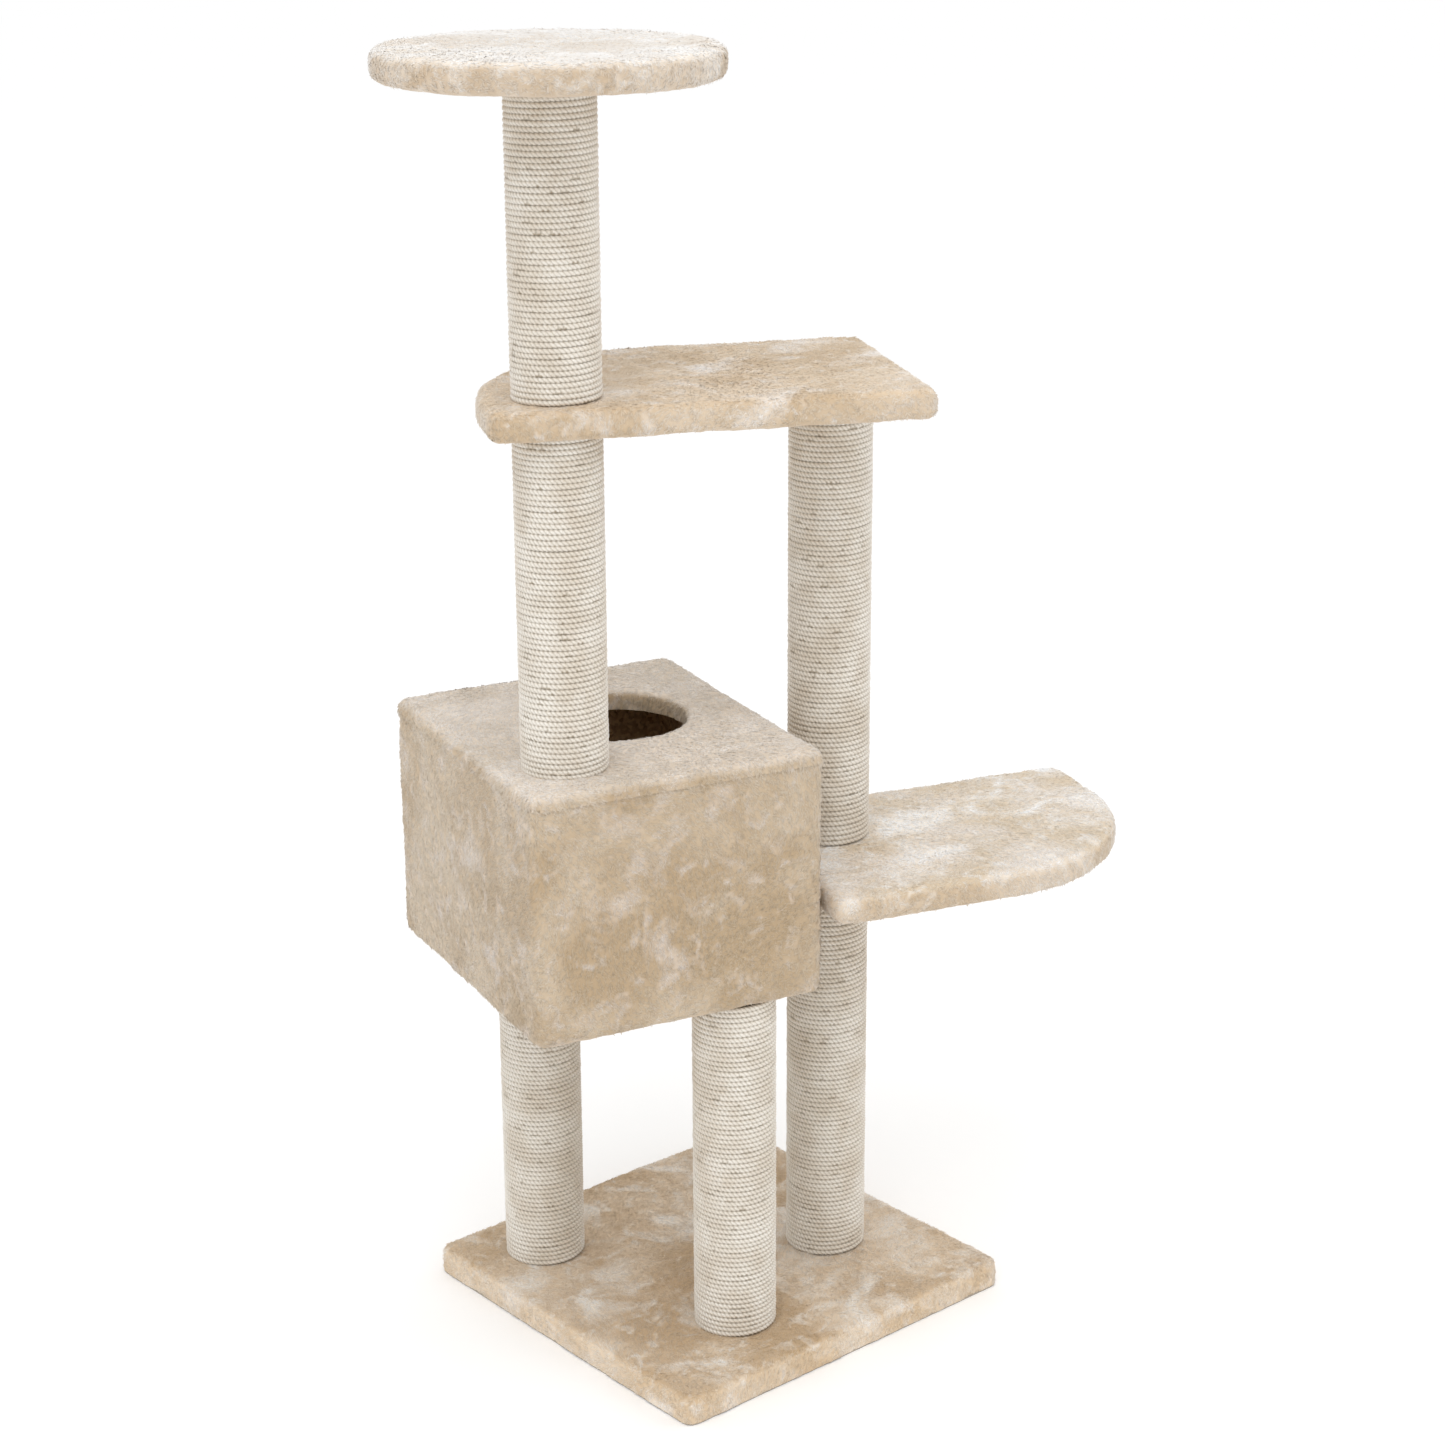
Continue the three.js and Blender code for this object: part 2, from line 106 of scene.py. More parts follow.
scene.world = bpy.data.worlds.new("studio")
scene.world.use_nodes = True
scene.world.node_tree.nodes["Background"].inputs["Color"].default_value = linear("#ffffff")
scene.world.node_tree.nodes["Background"].inputs["Strength"].default_value = 1.0
for name, place, size, power in (
    ("key", (-1.6, -1.4, 3.8), 2.6, 34),
    ("right_fill", (2.6, -1.6, 3.4), 2.6, 12),
):
    lamp = bpy.data.objects.new(name, bpy.data.lights.new(name, "AREA"))
    lamp.data.size = size
    lamp.data.energy = power
    lamp.location = place
    lamp.rotation_euler = (Vector((0, 0, 0.6)) - lamp.location).to_track_quat("-Z", "Y").to_euler()
    scene.collection.objects.link(lamp)


# ---------------------------------------------------------------- base
# A chipboard square covered in plush, which is pulled down over its edges. A thin hardboard sheet is
# stapled below it, and three bolts are driven up through both into the posts.
VOXEL = 3.2 * MM
PILE = 6 * MM
LOCK = 7 * MM * MM  # cloth for each lock of pile
STROKE = 55 * MM  # distance over which the way of stroking drifts
LEAN = (76, 88)  # degrees from upright
SKIRT = 20 * MM  # how far the base's body runs on below its cut


def plush(name, side, top, brushed=0.52):
    """Short-pile polyester plush, knitted, brushed and cropped to about 6 mm. Its colours are light, warm
    and deep, once for the sides and once for the tops, mixed by how far a face turns up; the two sets differ
    partly as the pile lies and partly as painted light, each set given the brightness that the light lends
    tops or sides. Where it is rubbed the other way it turns pale, in soft-edged marks 15 to 60 mm across;
    "brushed" is the level above which it has turned. The locks are painted darker towards their roots, and
    the skin under them darker still, as painted shade among the pile."""
    material, tree = new_material(name)
    at = put(tree, "TexCoord").outputs["Object"]
    facing = put(tree, "SeparateXYZ", links={"Vector": put(tree, "NewGeometry").outputs["Normal"]})
    up = put(tree, "MapRange", {"From Min": 0.3, "From Max": 0.85}, {"Value": facing.outputs["Z"]})
    shades = put(tree, "TexNoise", {"Scale": 9, "Detail": 4, "Roughness": 0.6, "Distortion": 0.3},
                 {"Vector": at})
    rubbed = put(tree, "TexNoise", {"Scale": 15, "Detail": 6, "Roughness": 0.6, "Distortion": 0.5},
                 {"Vector": at})
    turned = put(tree, "MapRange", {"From Min": brushed, "From Max": brushed + 0.16},
                 {"Value": rubbed.outputs["Fac"]})
    dabs = put(tree, "TexNoise", {"Scale": 48, "Detail": 3, "Roughness": 0.55, "Distortion": 0.7},
               {"Vector": at})
    dabbed = put(tree, "MapRange", {"From Min": 0.54, "From Max": 0.72, "To Max": 0.7},
                 {"Value": dabs.outputs["Fac"]})
    pale = put(tree, "Math", {"operation": "MAXIMUM"},
               {0: turned.outputs["Result"], 1: dabbed.outputs["Result"]})
    side_and_top_cloth = []
    for light, warm, deep in (side, top):
        cloth = put(tree, "ValToRGB", links={"Fac": shades.outputs["Fac"]})
        cloth.color_ramp.elements[0].position, cloth.color_ramp.elements[0].color = 0.40, linear(deep)
        cloth.color_ramp.elements[1].position, cloth.color_ramp.elements[1].color = 0.60, linear(warm)
        side_and_top_cloth.append(put(tree, "Mix", {"data_type": "RGBA", 7: linear(light)},
                        {"Factor": pale.outputs["Value"], 6: cloth.outputs["Color"]}))
    # painted light: the side and top palettes are mixed by how far the face turns up, partly as the pile lies
    # and partly as the light falls on tops and sides
    nap_and_painted_light = put(tree, "Mix", {"data_type": "RGBA"},
              {"Factor": up.outputs["Result"], 6: side_and_top_cloth[0].outputs[2], 7: side_and_top_cloth[1].outputs[2]})
    tip = put(tree, "Attribute", {"attribute_name": "tip"})
    # painted shade: the locks darker towards their roots, and the skin, which has no tip value, darkest
    painted_root_shade = put(tree, "ValToRGB", links={"Fac": tip.outputs["Fac"]})
    painted_root_shade.color_ramp.elements[0].color = linear("#ece5db")
    painted_root_shade.color_ramp.elements[1].position, painted_root_shade.color_ramp.elements[1].color = 0.7, linear("#ffffff")
    shade = put(tree, "Mix", {"data_type": "RGBA", "blend_type": "MULTIPLY", 0: 1.0},
                {6: nap_and_painted_light.outputs[2], 7: painted_root_shade.outputs["Color"]})
    curls = put(tree, "TexNoise", {"Scale": 230, "Detail": 2, "Distortion": 1.0}, {"Vector": at})
    bump = put(tree, "Bump", {"Strength": 0.3, "Distance": 1.2 * MM}, {"Height": curls.outputs["Fac"]})
    shader = put(tree, "BsdfPrincipled", {
        "Roughness": 0.92, "Specular IOR Level": 0.2,
        "Sheen Weight": 0.25, "Sheen Roughness": 0.6,
    }, {"Base Color": shade.outputs[2], "Normal": bump.outputs["Normal"]})
    put(tree, "OutputMaterial", links={"Surface": shader.outputs["BSDF"]})
    return material


def turned_box(degrees, *names):
    """Lowest and highest corner of CAD nodes in a frame turned about Z, in metres."""
    back = Matrix.Rotation(math.radians(-degrees), 3, "Z")
    points = np.array([back @ v.co for n in names for v in nodes[n].data.vertices])
    return points.min(0), points.max(0)


def rounded_block(low, high, radii, edge):
    """A block with its own radius at each upright edge, in the order front left, front right, rear right
    and rear left, and its rims rounded by "edge"."""
    bm = bmesh.new()
    bmesh.ops.create_cube(bm, size=1)
    size = Vector(high) - Vector(low)
    centre = (Vector(high) + Vector(low)) / 2
    bmesh.ops.scale(bm, vec=size, verts=bm.verts)
    bmesh.ops.translate(bm, vec=centre, verts=bm.verts)
    for (right, rear), radius in zip(((-1, -1), (1, -1), (1, 1), (-1, 1)), radii):
        upright = [
            e for e in bm.edges
            if abs(e.verts[0].co.z - e.verts[1].co.z) > size.z / 2
            and all((v.co.x - centre.x) * right > size.x / 2 - 1e-5 for v in e.verts)
            and all((v.co.y - centre.y) * rear > size.y / 2 - 1e-5 for v in e.verts)
        ]
        bmesh.ops.bevel(
            bm, geom=upright, offset=radius, offset_type="OFFSET", segments=max(5, int(radius / (5 * MM))),
            profile=0.5, affect="EDGES", material=-1,
        )
    rims = [e for e in bm.edges if abs(e.verts[0].co.z - e.verts[1].co.z) < 1e-6 and len(e.link_faces) == 2
            and abs(e.link_faces[0].normal.z - e.link_faces[1].normal.z) > 0.5]
    bmesh.ops.bevel(
        bm, geom=rims, offset=edge, offset_type="OFFSET", segments=4,
        profile=0.5, affect="EDGES", material=-1,
    )
    return bm


def made(name, bm, *modifiers):
    """An object from a bmesh with its modifiers applied."""
    obj = bpy.data.objects.new(name, bpy.data.meshes.new(name))
    scene.collection.objects.link(obj)
    bm.to_mesh(obj.data)
    bm.free()
    for kind, settings in modifiers:
        modifier = obj.modifiers.new(kind, kind)
        for key, value in settings.items():
            setattr(modifier, key, value)
    if modifiers:
        applied = bpy.data.meshes.new_from_object(obj.evaluated_get(bpy.context.evaluated_depsgraph_get()))
        obj.modifiers.clear()
        obj.data = applied
    return obj


def clouds(name, scale, depth):
    texture = bpy.data.textures.new(name, "CLOUDS")
    texture.noise_scale = scale
    texture.noise_depth = depth
    return texture


pad_lumps = clouds("pad_lumps", 45 * MM, 1)
pile_curls = clouds("pile_curls", 7 * MM, 1)


def skin(name, body, keep, material, degrees=0, lumps=2.4 * MM, curls=1.6 * MM, lift=-1.2 * MM):
    """The part of a remeshed body whose faces "keep" picks, as one layer of plush with its pile raised."""
    bm = bmesh.new()
    bm.from_mesh(body.data)
    outside = [f for f in bm.faces if not keep(f.calc_center_median())]
    bmesh.ops.delete(bm, geom=outside, context="FACES")
    near = {"texture_coords": "LOCAL"}
    obj = made(
        name, bm,
        ("DISPLACE", near | {"texture": pad_lumps, "strength": lumps, "mid_level": 0.5}),
        ("DISPLACE", near | {"texture": pile_curls, "strength": curls, "mid_level": 0.6}),
        ("DISPLACE", {"strength": lift, "mid_level": 0.0}),
    )
    obj.data.transform(Matrix.Rotation(math.radians(degrees), 4, "Z"))
    obj.data.materials.clear()
    obj.data.materials.append(material)
    obj.data.shade_smooth()
    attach(obj, "root")
    return obj


def pile(name, cover, seed):
    """The cropped pile of one cover: a pointed lock for every LOCK of its outer faces, leaning the way that
    the cloth was last stroked, which drifts from place to place. A lock is a ridge with two sloping sides and
    a blunt root, open below, and is lit as the cloth under it."""
    mesh = cover.data
    mesh.calc_loop_triangles()
    count = len(mesh.vertices)
    at, normals = np.zeros(count * 3), np.zeros(count * 3)
    mesh.vertices.foreach_get("co", at)
    mesh.vertex_normals.foreach_get("vector", normals)
    at, normals = at.reshape(-1, 3), normals.reshape(-1, 3)
    corners = np.zeros(len(mesh.loop_triangles) * 3, int)
    mesh.loop_triangles.foreach_get("vertices", corners)
    corners = corners.reshape(-1, 3)
    corners = corners[normals[corners].mean(1)[:, 2] > -0.6]
    a, b, c = (at[corners[:, i]] for i in range(3))
    area = np.linalg.norm(np.cross(b - a, c - a), axis=1) / 2
    rng = np.random.default_rng(seed)
    locks = int(area.sum() / LOCK)
    chosen = corners[rng.choice(len(corners), locks, p=area / area.sum())]
    share = rng.dirichlet((1, 1, 1), locks)[:, :, None]
    root = (at[chosen] * share).sum(1)
    out = (normals[chosen] * share).sum(1)
    out /= np.linalg.norm(out, axis=1)[:, None]
    x, y, z = (root / STROKE).T
    stroke = np.stack([
        np.sin(x + 1.7 * np.sin(y + seed)) + np.cos(1.3 * z + y),
        np.cos(y + 1.5 * np.sin(z + 2 * seed)) + np.sin(1.1 * x - z),
        np.sin(z + 1.3 * np.cos(x - seed)) - 1.2,
    ], 1) + rng.normal(size=(locks, 3)) * 0.9
    stroke -= out * (stroke * out).sum(1)[:, None]
    stroke /= np.linalg.norm(stroke, axis=1)[:, None]
    lean = np.radians(rng.uniform(*LEAN, locks))[:, None]
    along = out * np.cos(lean) + stroke * np.sin(lean)
    across = np.cross(along, out)
    across *= rng.uniform(0.6, 1.1, locks)[:, None] * MM / np.linalg.norm(across, axis=1)[:, None]
    end = root + along * PILE * rng.uniform(0.6, 1.1, locks)[:, None]
    end[:, 2] = np.maximum(end[:, 2], at[:, 2].min())
    foot = root - out * 0.4 * MM
    ridge = root + out * 0.5 * MM
    points = np.stack([foot - across, foot + across, ridge, end], 1).reshape(-1, 3)
    faces = np.array([[0, 2, 3], [2, 1, 3], [1, 2, 0]])
    faces = (faces[None] + 4 * np.arange(locks)[:, None, None]).reshape(-1)
    lock_mesh = bpy.data.meshes.new(name)
    lock_mesh.vertices.add(4 * locks)
    lock_mesh.vertices.foreach_set("co", points.ravel())
    lock_mesh.loops.add(9 * locks)
    lock_mesh.loops.foreach_set("vertex_index", faces)
    lock_mesh.polygons.add(3 * locks)
    lock_mesh.polygons.foreach_set("loop_start", np.arange(0, 9 * locks, 3))
    lock_mesh.update()
    lock_mesh.shade_smooth()
    lit = np.repeat(out, 4, 0) + np.repeat(stroke, 4, 0) * 0.25
    lock_mesh.normals_split_custom_set_from_vertices(lit / np.linalg.norm(lit, axis=1)[:, None])
    # painted shade: a lock's foot is read as darker than its ridge and end
    tip = np.tile(np.array([0.35, 0.35, 0.6, 1.0], np.float32), locks)
    lock_mesh.attributes.new("tip", "FLOAT", "POINT").data.foreach_set("value", tip)
    lock_mesh.materials.append(cover.data.materials[0])
    obj = bpy.data.objects.new(name, lock_mesh)
    scene.collection.objects.link(obj)
    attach(obj, "root")
    return obj


def remeshed(name, bm, *cutters):
    """A body as an even fine mesh, its creases softened, ready to be cut into skins."""
    cuts = [("BOOLEAN", {"operation": "DIFFERENCE", "object": c, "solver": "EXACT"}) for c in cutters]
    body = made(
        name, bm, *cuts,
        ("REMESH", {"mode": "VOXEL", "voxel_size": VOXEL}),
        ("SMOOTH", {"factor": 0.5, "iterations": 5}),
    )
    for cutter in cutters:
        bpy.data.objects.remove(cutter)
    return body


base_plush = plush(
    "plush_base", ("#faf3eb", "#f0e1cd", "#e2ccae"), ("#f0ebe4", "#dfceb8", "#c6ae8e"), 0.52,
)
low, high = turned_box(0, "base_cover")
body = remeshed("base_body", rounded_block(low - (0, 0, SKIRT), high, [14 * MM] * 4, 10 * MM))
cover = skin("base_plush", body, lambda c: c.z > 2.5 * MM, base_plush)
bpy.data.objects.remove(body)
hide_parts("base_cover")
locks = pile("base_pile", cover, 1)


def dressed(material, *names):
    for name in names:
        nodes[name].material_slots[0].material = material


# chipboard: pressed wood flakes and resin, flakes 2 to 6 mm long in several browns
chipboard, tree = new_material("pressed_chipboard")
at = put(tree, "TexCoord").outputs["Object"]
flakes = put(tree, "TexVoronoi", {"Scale": 260}, {"Vector": at})
flake_tone = put(tree, "ValToRGB", links={"Fac": flakes.outputs["Color"]})
flake_tone.color_ramp.elements[0].color = linear("#8f6a42")
flake_tone.color_ramp.elements[1].color = linear("#d6b488")
bump = put(tree, "Bump", {"Strength": 0.4, "Distance": 0.4 * MM}, {"Height": flakes.outputs["Distance"]})
shader = put(tree, "BsdfPrincipled", {"Roughness": 0.85},
             {"Base Color": flake_tone.outputs["Color"], "Normal": bump.outputs["Normal"]})
put(tree, "OutputMaterial", links={"Surface": shader.outputs["BSDF"]})
dressed(chipboard, "base_board")

# hardboard: fine wood fibre pressed hard and dark, with a mesh-like back
hardboard, tree = new_material("pressed_hardboard")
at = put(tree, "TexCoord").outputs["Object"]
fibre = put(tree, "TexNoise", {"Scale": 420, "Detail": 4, "Roughness": 0.7}, {"Vector": at})
fibre_tone = put(tree, "ValToRGB", links={"Fac": fibre.outputs["Fac"]})
fibre_tone.color_ramp.elements[0].color = linear("#8f867a")
fibre_tone.color_ramp.elements[1].color = linear("#b4aa9d")
bump = put(tree, "Bump", {"Strength": 0.3, "Distance": 0.3 * MM}, {"Height": fibre.outputs["Fac"]})
shader = put(tree, "BsdfPrincipled", {"Roughness": 0.8},
             {"Base Color": fibre_tone.outputs["Color"], "Normal": bump.outputs["Normal"]})
put(tree, "OutputMaterial", links={"Surface": shader.outputs["BSDF"]})
dressed(hardboard, "base_backing")


# ---------------------------------------------------------------- posts
# Cardboard tubes with a threaded plug pressed into each end, wound from end to end with three-strand
# sisal rope that is glued down, each turn hard against the last.
PITCH = 5.6 * MM
ROPE_R = 3.6 * MM
VALLEY_R = 2.7 * MM
ROPE_END = -1.5 * MM  # the winding starts this far past the end of its tube, in the plush
LAY = 14 * MM
STEPS = 168  # to a turn
SWAY = 0.16 * MM
SWAY_STEPS = 40

# raw sisal: long pale leaf fibres twisted into rope, matt, cream with greyer and yellower lengths
sisal, tree = new_material("twisted_sisal_rope")
at = put(tree, "TexCoord").outputs["Object"]
lengths = put(tree, "TexNoise", {"Scale": 26, "Detail": 3, "Roughness": 0.6}, {"Vector": at})
tone = put(tree, "ValToRGB", links={"Fac": lengths.outputs["Fac"]})
tone.color_ramp.elements[0].position, tone.color_ramp.elements[0].color = 0.34, linear("#e5ddd1")
tone.color_ramp.elements[1].position, tone.color_ramp.elements[1].color = 0.62, linear("#f4f0e9")
fibres = put(tree, "TexNoise", {"Scale": 900, "Detail": 2, "Roughness": 0.7}, {"Vector": at})
fibre_tone = put(tree, "ValToRGB", links={"Fac": fibres.outputs["Fac"]})
fibre_tone.color_ramp.elements[0].position, fibre_tone.color_ramp.elements[0].color = 0.32, linear("#dfd5c4")
fibre_tone.color_ramp.elements[1].position, fibre_tone.color_ramp.elements[1].color = 0.6, linear("#ffffff")
# painted shade: the rope is coloured darker the further a point lies in from the crown of its turn
depth = put(tree, "Attribute", {"attribute_name": "crown_shade"})
painted_depth_shade = put(tree, "ValToRGB", links={"Fac": depth.outputs["Fac"]})
painted_depth_shade.color_ramp.elements[0].position, painted_depth_shade.color_ramp.elements[0].color = 0.30, linear("#aaa08f")
painted_depth_shade.color_ramp.elements[1].position, painted_depth_shade.color_ramp.elements[1].color = 0.74, linear("#ffffff")
fibrous = put(tree, "Mix", {"data_type": "RGBA", "blend_type": "MULTIPLY", "Factor": 0.6},
              {6: tone.outputs["Color"], 7: fibre_tone.outputs["Color"]})
shaded = put(tree, "Mix", {"data_type": "RGBA", "blend_type": "MULTIPLY", "Factor": 0.9},
             {6: fibrous.outputs[2], 7: painted_depth_shade.outputs["Color"]})
bump = put(tree, "Bump", {"Strength": 0.6, "Distance": 0.5 * MM}, {"Height": fibres.outputs["Fac"]})
shader = put(tree, "BsdfPrincipled", {"Roughness": 0.85, "Specular IOR Level": 0.25, "Sheen Weight": 0.2},
             {"Base Color": shaded.outputs[2], "Normal": bump.outputs["Normal"]})
put(tree, "OutputMaterial", links={"Surface": shader.outputs["BSDF"]})

# the rope's section: three strands, so three lobes with a valley between each two
section = bpy.data.objects.new("rope_section", bpy.data.curves.new("rope_section", "CURVE"))
scene.collection.objects.link(section)
lobes = section.data.splines.new("POLY")
lobes.points.add(5)
lobes.use_cyclic_u = True
for i, point in enumerate(lobes.points):
    radius = ROPE_R if i % 2 == 0 else VALLEY_R
    point.co = (radius * math.cos(i * math.pi / 3), radius * math.sin(i * math.pi / 3), 0, 1)


def winding(name, node):
    """The rope wound on one post, a long helix swept with the three-lobed section as it twists."""
    low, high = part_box(node)
    middle, outer = (low + high) / 2, (high.x - low.x) / 2
    turns = (high.z - low.z - 2 * ROPE_END) / PITCH
    steps = int(turns * STEPS)
    angle = np.linspace(0, turns * 2 * math.pi, steps + 1)
    radius = outer - ROPE_R
    points = np.ones((steps + 1, 4))
    points[:, 0] = middle.x + radius * np.cos(angle)
    points[:, 1] = middle.y + radius * np.sin(angle)
    points[:, 2] = low.z + ROPE_END + PITCH * angle / (2 * math.pi)
    sway = np.random.default_rng(len(name) + steps).normal(size=(steps // SWAY_STEPS + 8, 3))
    knots = np.arange(len(sway)) * SWAY_STEPS
    along = np.arange(steps + 1)
    points[:, :3] += SWAY * np.stack([np.interp(along, knots, column) for column in sway.T], 1)
    curve = bpy.data.curves.new(name, "CURVE")
    curve.dimensions = "3D"
    curve.twist_mode = "Z_UP"
    curve.bevel_mode = "OBJECT"
    curve.bevel_object = section
    curve.use_fill_caps = True
    rope = curve.splines.new("POLY")
    rope.points.add(steps)
    rope.points.foreach_set("co", points.ravel())
    rope.points.foreach_set("tilt", angle * radius * 2 * math.pi / LAY)
    route = bpy.data.objects.new(name + "_route", curve)
    scene.collection.objects.link(route)
    mesh = bpy.data.meshes.new_from_object(route.evaluated_get(bpy.context.evaluated_depsgraph_get()))
    bpy.data.objects.remove(route)
    obj = bpy.data.objects.new(name, mesh)
    scene.collection.objects.link(obj)
    place = np.zeros(len(mesh.vertices) * 3)
    mesh.vertices.foreach_get("co", place)
    place = place.reshape(-1, 3)
    out = np.hypot(place[:, 0] - middle.x, place[:, 1] - middle.y)
    # painted shade: darker the further in from the rope's outer crown, so the grooves between turns are
    # painted dark
    crown_shade = np.clip((out - (outer - 2 * ROPE_R)) / (2 * ROPE_R), 0, 1)
    crown_shade[1::2] *= 0.62  # painted shade in the valleys between the strands
    # here and there, for 3 to 9 mm, the lower side of a turn is painted darker, as painted shade of a gap
    # between two turns
    rings = place[:, 2].reshape(-1, 6)
    under = rings < rings.mean(1)[:, None] - 1.2 * MM
    rng = np.random.default_rng(steps)
    starts = rng.integers(0, len(rings) - 8, len(rings) // 80)
    painted_gaps = np.zeros(len(rings), bool)
    for start, run in zip(starts, rng.integers(2, 7, len(starts))):
        painted_gaps[start:start + run] = True
    crown_shade[(under & painted_gaps[:, None]).ravel()] *= 0.35
    mesh.attributes.new("crown_shade", "FLOAT", "POINT").data.foreach_set("value", crown_shade.astype(np.float32))
    mesh.materials.clear()
    mesh.materials.append(sisal)
    mesh.shade_smooth()
    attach(obj, "root")
    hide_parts(node)
    return obj


POSTS = ("a1", "a2", "b1", "b2", "c1", "c2")
for post in POSTS:
    winding(f"post_{post}_sisal_rope", f"post_{post}_sisal_wrap")
bpy.data.objects.remove(section)

# grey-brown cardboard tube, wound in plies
cardboard, tree = new_material("spiral_cardboard_tube")
at = put(tree, "TexCoord").outputs["Object"]
plies = put(tree, "TexNoise", {"Scale": 60, "Detail": 5, "Roughness": 0.7}, {"Vector": at})
ply_tone = put(tree, "ValToRGB", links={"Fac": plies.outputs["Fac"]})
ply_tone.color_ramp.elements[0].color = linear("#8d7453")
ply_tone.color_ramp.elements[1].color = linear("#bd9f76")
shader = put(tree, "BsdfPrincipled", {"Roughness": 0.9}, {"Base Color": ply_tone.outputs["Color"]})
put(tree, "OutputMaterial", links={"Surface": shader.outputs["BSDF"]})
dressed(cardboard, *(f"post_{post}_core_tube" for post in POSTS))

# moulded black polypropylene plugs with a slight grain
plastic, tree = new_material("moulded_black_plastic")
at = put(tree, "TexCoord").outputs["Object"]
grain = put(tree, "TexNoise", {"Scale": 800, "Detail": 2}, {"Vector": at})
grain_tone = put(tree, "ValToRGB", links={"Fac": grain.outputs["Fac"]})
grain_tone.color_ramp.elements[0].color = linear("#1e1e1f")
grain_tone.color_ramp.elements[1].color = linear("#343435")
shader = put(tree, "BsdfPrincipled", {"Roughness": 0.45}, {"Base Color": grain_tone.outputs["Color"]})
put(tree, "OutputMaterial", links={"Surface": shader.outputs["BSDF"]})
dressed(plastic, *(f"post_{post}_plug_{end}" for post in POSTS for end in ("bottom", "top")))


# ---------------------------------------------------------------- cat cave
# A box of chipboard panels under three plush covers: one sewn round the walls, one over the roof that folds
# down over it, and one under the floor. The roof cover turns in through the hole that is the way in.
CAVE_TURN = -13.8
HEM = 30 * MM
SEAM = 5 * MM  # height over which the wall and floor covers meet
ROOF_HOLE = 80 * MM
HOLE_RIGHT = 65.6 * MM
HOLE_REAR = 88.3 * MM
ROLL = 4 * MM
ROOF_LAP = 12 * MM

low, high = turned_box(CAVE_TURN, "cave_wall_cover", "cave_roof_cover", "cave_floor_cover")
roof_low = turned_box(CAVE_TURN, "cave_roof_panel")[0]
hole_x = high[0] - HOLE_RIGHT - ROOF_HOLE
hole_y = high[1] - HOLE_REAR - ROOF_HOLE


def rolled_cutter(name, radius, depth):
    """A round cutter along -Z from the origin. It flares at its mouth, so the rim that it leaves is rolled."""
    bm = bmesh.new()
    arc = [(i / 5) * math.pi / 2 for i in range(6)]
    profile = [(0, -depth), (radius, -depth)]
    profile += [(radius + ROLL * (1 - math.cos(a)), -ROLL * (1 - math.sin(a))) for a in arc]
    profile += [(radius + ROLL, 8 * MM), (0, 8 * MM)]
    verts = [bm.verts.new((r, 0, z)) for r, z in profile]
    edges = [bm.edges.new(pair) for pair in zip(verts, verts[1:])]
    bmesh.ops.spin(
        bm, geom=verts + edges, cent=(0, 0, 0), axis=(0, 0, 1), angle=2 * math.pi, steps=48, use_merge=True,
    )
    bmesh.ops.remove_doubles(bm, verts=bm.verts, dist=1e-5)
    bmesh.ops.recalc_face_normals(bm, faces=bm.faces)
    return made(name, bm)


hole_cutter = rolled_cutter("hole_cutter", ROOF_HOLE, 40 * MM)
hole_cutter.data.transform(Matrix.Translation((hole_x, hole_y, high[2])))
body = remeshed("cave_body", rounded_block(low, high, [14 * MM] * 4, 12 * MM), hole_cutter)

lap = high[2] - ROOF_LAP


def over_hole(c):
    return math.hypot(c.x - hole_x, c.y - hole_y) < ROOF_HOLE + ROLL + 2 * MM


def roof_part(c):
    return c.z > lap or (over_hole(c) and c.z > roof_low[2] + 2 * MM)


def wall_part(c):
    if c.z > lap + SEAM or over_hole(c) and c.z > low[2] + SEAM:
        return False
    inside = low[0] + HEM < c.x < high[0] - HEM and low[1] + HEM < c.y < high[1] - HEM
    return c.z > low[2] + SEAM or not inside


def floor_part(c):
    return c.z < low[2] + SEAM and not wall_part(c)


cave_plush = plush(
    "plush_cave", ("#e3d9d0", "#d5c6b1", "#c3af93"), ("#f6f1ec", "#ebe3da", "#dbd1c4"), 0.54,
)
wall = skin("cave_wall_plush", body, wall_part, cave_plush, CAVE_TURN)
roof = skin("cave_roof_plush", body, roof_part, cave_plush, CAVE_TURN, lift=0.6 * MM)
under = skin("cave_underside_plush", body, floor_part, cave_plush, CAVE_TURN)
bpy.data.objects.remove(body)
wall_locks = pile("cave_wall_pile", wall, 2)
roof_locks = pile("cave_roof_pile", roof, 3)
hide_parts("cave_wall_cover")
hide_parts("cave_roof_cover")
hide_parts("cave_floor_cover")

# a loose mat of the same plush on the cave's floor, given a dark grey-brown palette as painted shade for the
# inside of the cave
mat_plush = plush(
    "plush_mat", ("#8d8378", "#7d7164", "#6c6154"), ("#8d8378", "#7d7164", "#6c6154"), 0.58,
)
mat_low, mat_high = turned_box(CAVE_TURN, "cave_mat")
body = remeshed("mat_body", rounded_block(mat_low, mat_high, [6 * MM] * 4, 2.5 * MM))
mat = skin("cave_mat_plush", body, lambda c: True, mat_plush, CAVE_TURN,
           lumps=1 * MM, curls=1 * MM, lift=-1 * MM)
bpy.data.objects.remove(body)
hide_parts("cave_mat")

dressed(chipboard, *(f"cave_{side}_panel" for side in ("roof", "floor", "front", "left", "right", "rear")))


# ---------------------------------------------------------------- landing, shelf and perch
# Chipboard boards in sewn plush covers. Each cover is pulled over its board and turned under as a hem, and a
# flat panel of the same plush closes the underside.
CORNER = 15 * MM
EDGE = 11 * MM
LANDING_ROUND = 216 * MM
SHELF_ROUND = 228 * MM


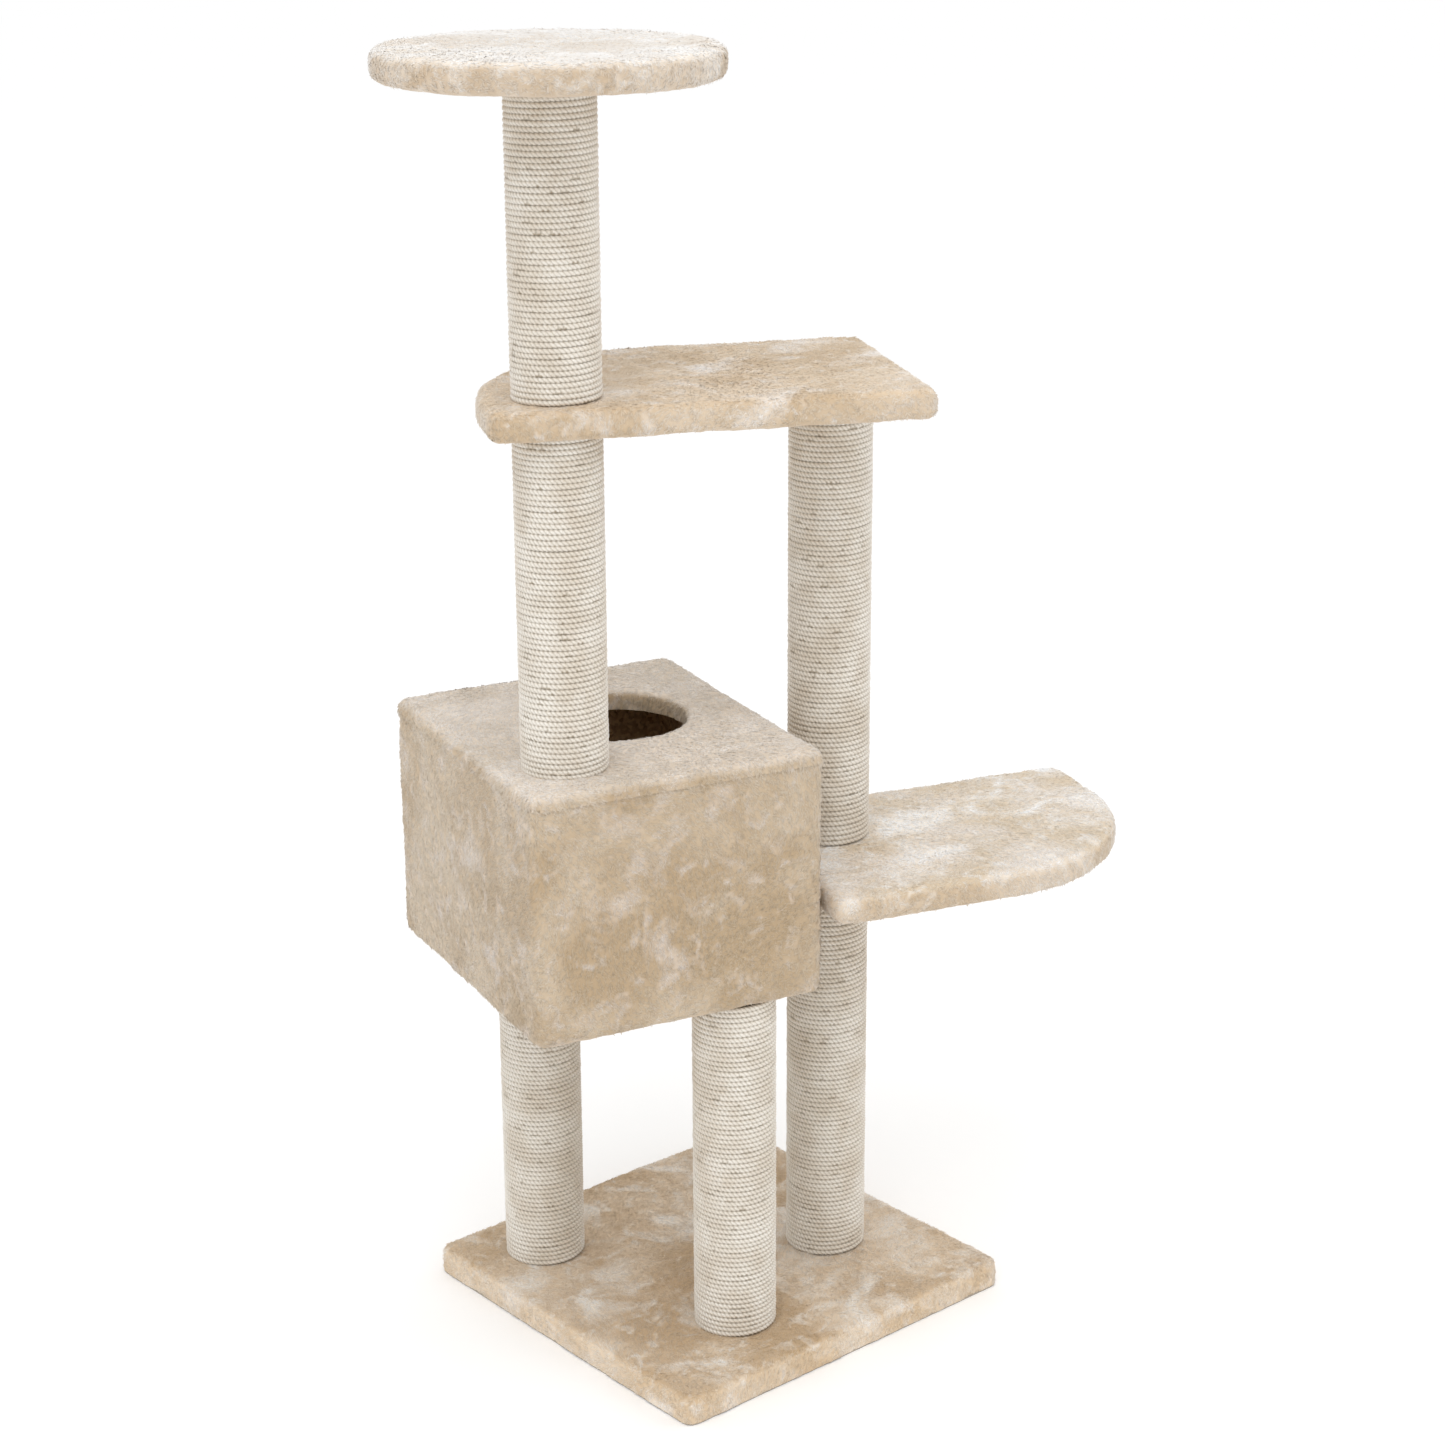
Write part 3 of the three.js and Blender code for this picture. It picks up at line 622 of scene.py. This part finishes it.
def plate(name, degrees, radii, material, seed):
    low, high = turned_box(degrees, f"{name}_cover")
    w, d, h = high - low
    body = remeshed(f"{name}_body", rounded_block(low, high, radii(w), EDGE))

    def under_panel(c):
        inside = low[0] + HEM < c.x < high[0] - HEM and low[1] + HEM < c.y < high[1] - HEM
        return c.z < low[2] + 4 * MM and inside

    cover = skin(f"{name}_plush", body, lambda c: not under_panel(c), material, degrees)
    under = skin(f"{name}_underside_plush", body, under_panel, material, degrees)
    bpy.data.objects.remove(body)
    locks = pile(f"{name}_pile", cover, seed)
    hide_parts(f"{name}_cover")
    dressed(chipboard, f"{name}_board")


plush_landing = plush(
    "plush_landing", ("#f5f0ea", "#e6dacb", "#d8c6ae"), ("#ffffff", "#f3ede7", "#e2d4bf"), 0.49,
)
plush_shelf = plush(
    "plush_shelf", ("#f3ede7", "#e4d6c4", "#d4c1a7"), ("#f6f0ea", "#e6d5be", "#d3bd9f"), 0.53,
)
plate("landing", -18.1, lambda w: (CORNER, min(LANDING_ROUND, w / 2), CORNER, CORNER), plush_landing, 4)
plate("shelf", -27.0, lambda w: (CORNER, CORNER, CORNER, min(SHELF_ROUND, w / 2)), plush_shelf, 5)

plush_perch = plush(
    "plush_perch", ("#f0ebe5", "#dfd2c2", "#d0bea7"), ("#fdfcfb", "#f4f0eb", "#ebe2d7"), 0.48,
)
low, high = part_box("perch_cover")
centre, radius = (low + high) / 2, (high.x - low.x) / 2
bm = bmesh.new()
bmesh.ops.create_cone(bm, cap_ends=True, segments=96, radius1=radius, radius2=radius, depth=high.z - low.z)
bmesh.ops.translate(bm, vec=centre, verts=bm.verts)
rims = [e for e in bm.edges if abs(e.verts[0].co.z - e.verts[1].co.z) < 1e-6]
bmesh.ops.bevel(bm, geom=rims, offset=EDGE, offset_type="OFFSET", segments=5, profile=0.5, affect="EDGES",
                material=-1)
body = remeshed("perch_body", bm)


def perch_underside(c):
    return c.z < low.z + 4 * MM and math.hypot(c.x - centre.x, c.y - centre.y) < radius - HEM


cover = skin("perch_plush", body, lambda c: not perch_underside(c), plush_perch)
under = skin("perch_underside_plush", body, perch_underside, plush_perch)
bpy.data.objects.remove(body)
locks = pile("perch_pile", cover, 6)
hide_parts("perch_cover")
dressed(chipboard, "perch_board")


# ---------------------------------------------------------------- bolts, washers and studs
# M8 steel, zinc plated. They run through the boards into the plugs, with their heads sunk below the plush.
zinc, tree = new_material("zinc_plated_steel")
at = put(tree, "TexCoord").outputs["Object"]
spangle = put(tree, "TexNoise", {"Scale": 350, "Detail": 3}, {"Vector": at})
zinc_tone = put(tree, "ValToRGB", links={"Fac": spangle.outputs["Fac"]})
zinc_tone.color_ramp.elements[0].color = linear("#a9abad")
zinc_tone.color_ramp.elements[1].color = linear("#c9cbcd")
shader = put(tree, "BsdfPrincipled", {"Metallic": 1.0, "Roughness": 0.35},
             {"Base Color": zinc_tone.outputs["Color"]})
put(tree, "OutputMaterial", links={"Surface": shader.outputs["BSDF"]})
dressed(zinc, *(name for name in nodes if "bolt" in name or "washer" in name or "stud" in name))
